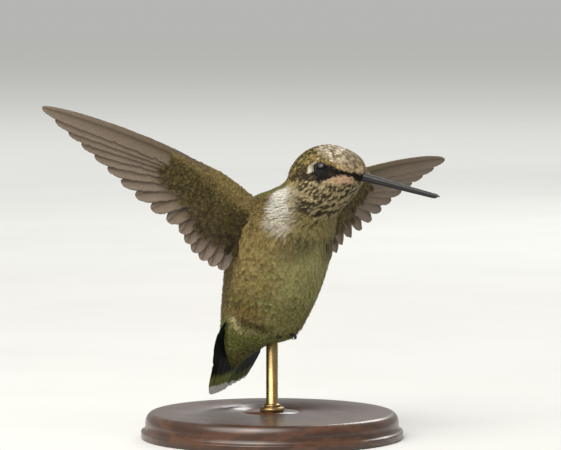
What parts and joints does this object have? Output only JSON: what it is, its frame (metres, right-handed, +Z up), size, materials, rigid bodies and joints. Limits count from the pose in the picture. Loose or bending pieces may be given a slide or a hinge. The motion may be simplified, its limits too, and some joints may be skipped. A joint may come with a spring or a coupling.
{
  "type": "hummingbird model",
  "caption": "Life-size hovering hummingbird with raised wings, turned head and long thin bill, held by a rod on a round base.",
  "frame": {"origin": "centre of the underside of the stand's round base", "axes": "+Z up, +X the way the bird's body faces (its bill points down and to the left of that), +Y to the bird's left; the underside of the base faces -Z"},
  "size_m": [0.0645, 0.1056, 0.0714],
  "materials": {
    "body_plumage": "matte",
    "head_plumage": "matte",
    "wing_coverts": "matte",
    "flight_feathers": "satin",
    "tail_feathers": "satin",
    "eye": "gloss",
    "bill": "satin",
    "foot": "satin",
    "stand_wood": "satin",
    "stand_brass": "satin"
  },
  "bodies": {
    "root": {"tail_coverts": "body_plumage", "belly": "body_plumage", "breast": "body_plumage", "neck": "body_plumage", "head": "head_plumage", "eye_left": "eye", "eye_right": "eye", "bill_upper": "bill", "bill_lower": "bill", "wing_right_arm": "wing_coverts", "wing_right_primaries": "flight_feathers", "wing_right_secondaries": "flight_feathers", "wing_left_arm": "wing_coverts", "wing_left_primaries": "flight_feathers", "wing_left_secondaries": "flight_feathers", "tail_left": "tail_feathers", "tail_right": "tail_feathers", "leg_right": "foot", "foot_right": "foot", "leg_left": "foot", "foot_left": "foot", "stand_base": "stand_wood", "stand_rod": "stand_brass"}
  },
  "joints": []
}
